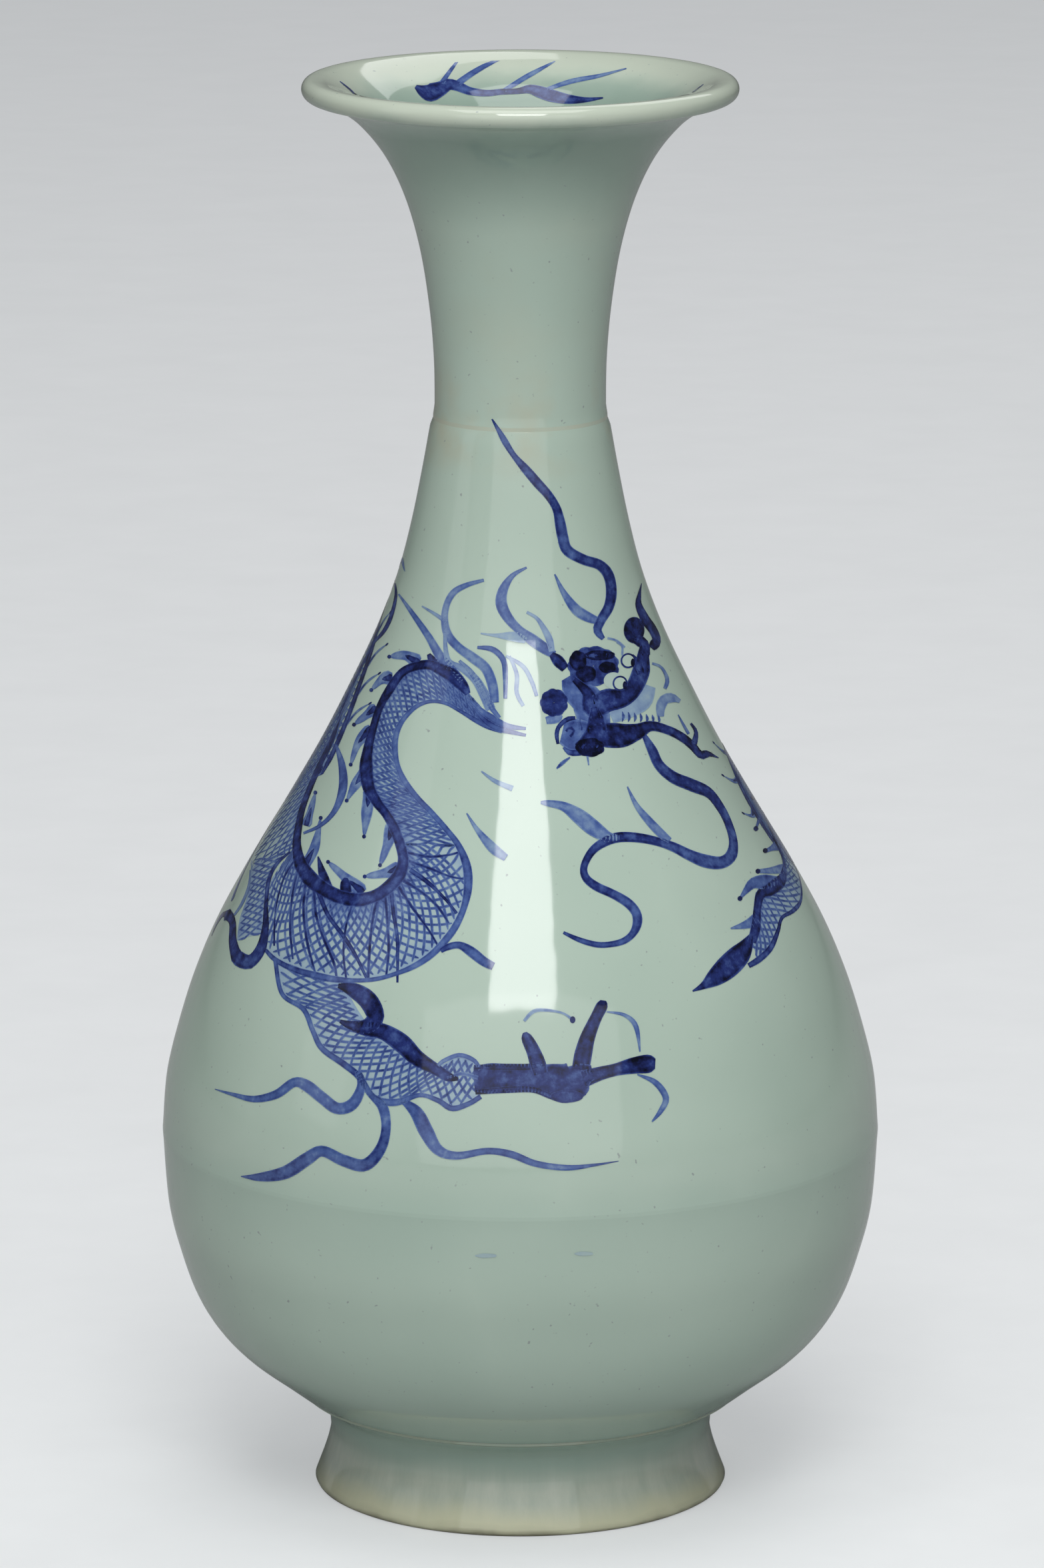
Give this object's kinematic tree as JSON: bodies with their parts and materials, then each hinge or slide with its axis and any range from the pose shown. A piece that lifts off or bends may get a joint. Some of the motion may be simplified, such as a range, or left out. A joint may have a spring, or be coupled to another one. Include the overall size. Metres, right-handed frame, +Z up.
{
  "type": "vase",
  "caption": "Pear-shaped glazed porcelain vase with a slender neck, wide trumpet mouth and flared foot ring, painted in underglaze blue.",
  "frame": {"origin": "centre of the foot ring's underside", "axes": "+Z up along the vase's axis, -Y towards the painted front"},
  "size_m": [0.146, 0.146, 0.29],
  "materials": {
    "glaze": "glossy",
    "foot_glaze": "glossy",
    "slip": "matte"
  },
  "bodies": {
    "root": {"foot_ring": "foot_glaze", "foot_slip_joint": "slip", "lower_body": "glaze", "belly_slip_joint": "slip", "upper_body": "glaze", "neck_slip_joint": "slip", "mouth_and_neck": "glaze"}
  },
  "joints": []
}
